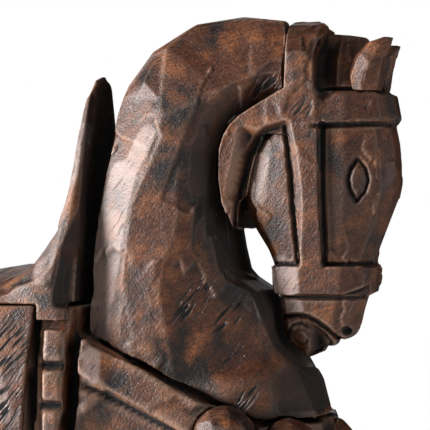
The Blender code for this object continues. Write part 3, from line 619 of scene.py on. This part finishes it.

# Block, line, width, depth, stain and painted shade, power
SCORES = (
    # Bridle: the throatlatch, the cheek strap, the browband, the noseband and the crown strap's front
    ("head", THROATLATCH_INNER, 4.4, 3.0, 1.0, 0.7),
    ("head", CHEEK_STRAP_REAR, 2.6, 2.4, 1.0, 0.6),
    ("head", ((41.6, 180), (41.9, 160), (42.2, 125.5)), 2.2, 1.8, 1.0, 0.6),
    ("head", ((38, 178.9), (60, 179.2), (69, 179.6)), 2.0, 1.6, 1.0, 0.6),
    ("head", ((41, 192.9), (56, 193.1), (69, 193.3)), 2.2, 1.6, 1.0, 0.6),
    ("head", ((20, 126.0), (31, 126.1)), 2.2, 1.6, 1.0, 0.6),
    ("head", ((42, 126.1), (56, 126.2), (63, 126.4)), 2.0, 1.6, 1.0, 0.6),
    ("head", ((19, 113.2), (40, 113.0), (61, 113.1)), 1.8, 1.4, 1.0, 0.6),
    ("head", ((42.4, 193), (42.2, 204), (43.4, 214)), 8.5, 3.4, 1.0, 0.5),
    # Face: the eye, the mouth with its lip, hollow and chin line, the ringed boss, and painted shade on the
    # cheek
    ("head", EYE, 1.5, 1.4, 1.0, 0.8),
    ("head", MOUTH, 2.4, 2.8, 1.0, 0.6),
    ("head", LIP, 1.6, 1.2, 1.0, 0.7),
    ("head", MOUTH_HOLLOW, 7.0, 3.2, 1.0, 0.45),
    ("head", ((41.6, 99.6), (43.4, 95.8), (42.0, 92.4)), 1.8, 1.8, 1.0, 0.7),
    ("head", BOSS, 1.2, 0.7, 0.7, 0.8),
    ("head", ((51, 174), (50, 132)), 24.0, 0.0, 0.5, 0.5),
    # Neck: the recess behind the throatlatch with painted shade in it, painted shade under the chin, the
    # crown's edge, painted shade over the bells
    ("neck", THROATLATCH_OUTER, 20.0, 4.5, 1.0, 1.1),
    ("neck", THROATLATCH_OUTER, 30.0, 0.0, 0.8, 0.7),
    ("neck", ((4, 152), (9, 132), (14, 118), (24, 106), (33, 92)), 34.0, 0.0, 0.95, 0.8),
    ("neck", ((26.8, 193.4), (27.0, 205), (28.5, 222)), 2.5, 2.0, 1.0, 0.8),
    ("neck", ((-12, 74), (6, 72), (22, 68), (40, 66)), 12.0, 0.0, 0.9, 0.8),
    # Body: the slit before the flap, the breast strap's lower edge, painted shade on the shoulder and by the
    # bells
    ("body", ((-64.8, 110), (-66.4, 75), (-69.0, 20)), 3.6, 7.0, 1.0, 0.5),
    ("body", STRAP_FOOT, 2.4, 1.8, 1.0, 0.6),
    ("body", ((-44.0, 66.0), (-20.0, 48.0), (4.0, 36.0)), 34.0, 0.0, 0.6, 0.7),
    ("body", ((4, 57), (26, 56), (46, 52)), 26.0, 0.0, 1.0, 0.4, -0.4),
)
for node, *cut in SCORES:
    score(pieces[node], *cut)
for bead in range(1, BEADS + 1):
    z = BEADS_TOP - BEAD_PITCH * bead + BEAD_GAP / 2
    score(pieces["body"], ((-63, z), (-51, z)), 3.6, 2.2, 1.0, 0.8)

# The cheek strap's chamfered rear edge, the nostril, and two notches under the chin
scored_head, _ = surface(pieces["head"])
pare_along(pieces["head"], scored_head, (30.4, 178.0), (33.4, 126.5), -42, 4, 2, 1.8)
pit(pieces["head"], (49.6, 100.2), 2.1, 3.5)
nick(pieces["head"], (47.2, 94.6), 2.6, (-0.9, 1.9))
nick(pieces["head"], (42.0, 92.0), 2.2, (-0.6, 1.7))

# Painted shade on the gap behind the neck, the throat, the pommel's front and the girth's rear wall
shade_facing(pieces["neck"], -1, 1.0, -ACROSS, 186)
shade_facing(pieces["neck"], 1, 0.85, 70, 180, least=0.35, full=0.8)
shade_facing(pieces["saddle"], 1, 0.75, 100, ACROSS, least=0.6, full=0.9)
shade_facing(pieces["body"], -1, 0.8, 20, 120)

# Where the toothed scraper was used: block, place, angle, length, breadth
SCRAPED = (
    ("neck", (-6.0, 112.0), 0.9, 22, 10),
    ("neck", (7.0, 106.5), 1.1, 20, 9),
    ("neck", (8.5, 90.0), 1.1, 12, 7),
    ("neck", (19.0, 193.5), 0.6, 14, 8),
    ("neck", (14.0, 74.5), 0.8, 22, 5),
    ("head", (34.0, 184.0), 1.0, 12, 7),
    ("head", (56.0, 186.0), 1.0, 10, 6),
    ("right_flap", (-76.0, 94.0), 0.9, 26, 22),
    ("right_flap", (-80.0, 70.0), 0.9, 30, 20),
    ("left_flap", (-76.0, 94.0), 0.9, 26, 22),
)
for node, *patch in SCRAPED:
    scratch(pieces[node], *patch)

# Bands of painted sheen, a pale highlight on facets that face the light: block, line, width, how far
PAINTED_SHEEN_BANDS = (
    ("neck", ((-36.0, 160.0), (-40.0, 138.0), (-43.6, 112.0), (-46.0, 96.0)), 14.0, 0.52),
    ("neck", ((-26.0, 176.0), (-33.0, 162.0)), 9.0, 0.45),
    ("head", ((17.5, 166.0), (16.5, 152.0)), 8.0, 0.28),
    ("head", ((24.5, 122.0), (24.5, 117.0)), 16.0, 0.40),
    ("head", ((27.5, 111.0), (30.0, 109.0)), 8.0, 0.40),
    ("head", ((29.0, 101.5), (30.5, 103.0)), 3.5, 0.45),
    ("body", ((-43.0, 92.0), (-43.0, 84.0)), 8.0, 0.45),
    ("saddle", ((-54.0, 178.0), (-60.0, 150.0), (-63.0, 122.0)), 9.0, 0.35),
    ("right_flap", ((-86.0, 108.0), (-76.0, 70.0)), 9.0, 0.35),
)
for node, *band in PAINTED_SHEEN_BANDS:
    paint_sheen(pieces[node], *band)


for node, piece in pieces.items():
    lay_tones(piece)
    take(piece)
    bpy.ops.object.shade_smooth()
    piece.data.materials.append(base_walnut if node == "plinth" else walnut)
    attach(piece, "root")
    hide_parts(node)

for word, finish in (("dowel", plain_beech()), ("felt", wool_felt()), ("screw", zinc_plate())):
    for node, thing in frame["nodes"].items():
        if word in node:
            for held in thing.material_slots:
                held.link = "OBJECT"
                held.material = finish


# Studio


ROOM_GLOW = 0.03  # what the white room gives the wood
FLOOR_RADIUS = 1.5
FLOOR_DROP = 0.0002


def softbox(name, place, aim, size, power, sheen):
    """A rectangular light turned to its aim. The sheen scales what it shows as in the polish."""
    bpy.ops.object.light_add(type="AREA", location=place)
    lamp = bpy.context.object
    lamp.name = name
    lamp.data.shape = "RECTANGLE"
    lamp.data.size, lamp.data.size_y = size
    lamp.data.energy = power
    lamp.data.specular_factor = sheen
    lamp.rotation_euler = (Vector(aim) - Vector(place)).to_track_quat("-Z", "Y").to_euler()


def studio():
    """Soft light from the front left, with weak fills, in a white room over a pale floor."""
    middle = (0.06, 0.0, 0.30)
    softbox("left_softbox", (-0.86, -0.46, 0.46), middle, (0.36, 0.7), 34.0, 2.0)
    softbox("front_fill", (0.1, -1.2, 0.95), middle, (0.9, 0.9), 2.0, 0.3)
    softbox("right_softbox", (1.1, -0.25, 0.45), middle, (0.5, 0.9), 3.5, 1.0)
    softbox("back_softbox", (-0.3, 1.2, 0.8), middle, (0.9, 0.9), 2.0, 1.0)
    world = bpy.data.worlds.new("white_room")
    bpy.context.scene.world = world
    world.use_nodes = True
    tree = world.node_tree
    tree.nodes.clear()
    seen = add(tree, "ShaderNodeBackground", {"Color": srgb("#ffffff"), "Strength": 1.0})
    lit = add(tree, "ShaderNodeBackground", {"Color": srgb("#ffffff"), "Strength": ROOM_GLOW})
    path = add(tree, "ShaderNodeLightPath", out="Is Camera Ray")
    both = add(tree, "ShaderNodeMixShader", {0: path, 1: lit, 2: seen})
    add(tree, "ShaderNodeOutputWorld", {"Surface": both})
    deselect_all()
    bpy.ops.mesh.primitive_circle_add(
        vertices=96, radius=FLOOR_RADIUS, fill_type="NGON", location=(0, 0, -FLOOR_DROP)
    )
    floor = bpy.context.object
    floor.name = "studio_floor"
    finish, _, shader = new_finish("pale_matt_floor")
    shader.inputs["Base Color"].default_value = srgb("#e9e7e4")
    shader.inputs["Roughness"].default_value = 0.9
    floor.data.materials.append(finish)
    floor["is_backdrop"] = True
    bpy.context.scene.view_settings.view_transform = "Standard"


CAMERA_AIM = (-0.0045, 0.0, 0.1449)  # from the horse's own origin
CAMERA_TURN = 12  # degrees to the front of square on
CAMERA_DISTANCE = 0.620
CAMERA_LENS = 129.77


def camera():
    """Level with the neck and a little to the front of square on, close in on the head and neck."""
    aim = Vector(HORSE) + Vector(CAMERA_AIM)
    turn = math.radians(CAMERA_TURN)
    back = Vector((math.sin(turn), -math.cos(turn), 0.0))
    bpy.ops.object.camera_add(location=aim + back * CAMERA_DISTANCE)
    made = bpy.context.object
    made.rotation_euler = (-back).to_track_quat("-Z", "Y").to_euler()
    made.data.lens = CAMERA_LENS
    made.data.sensor_width = 36.0
    bpy.context.scene.camera = made


studio()
camera()

low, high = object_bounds()
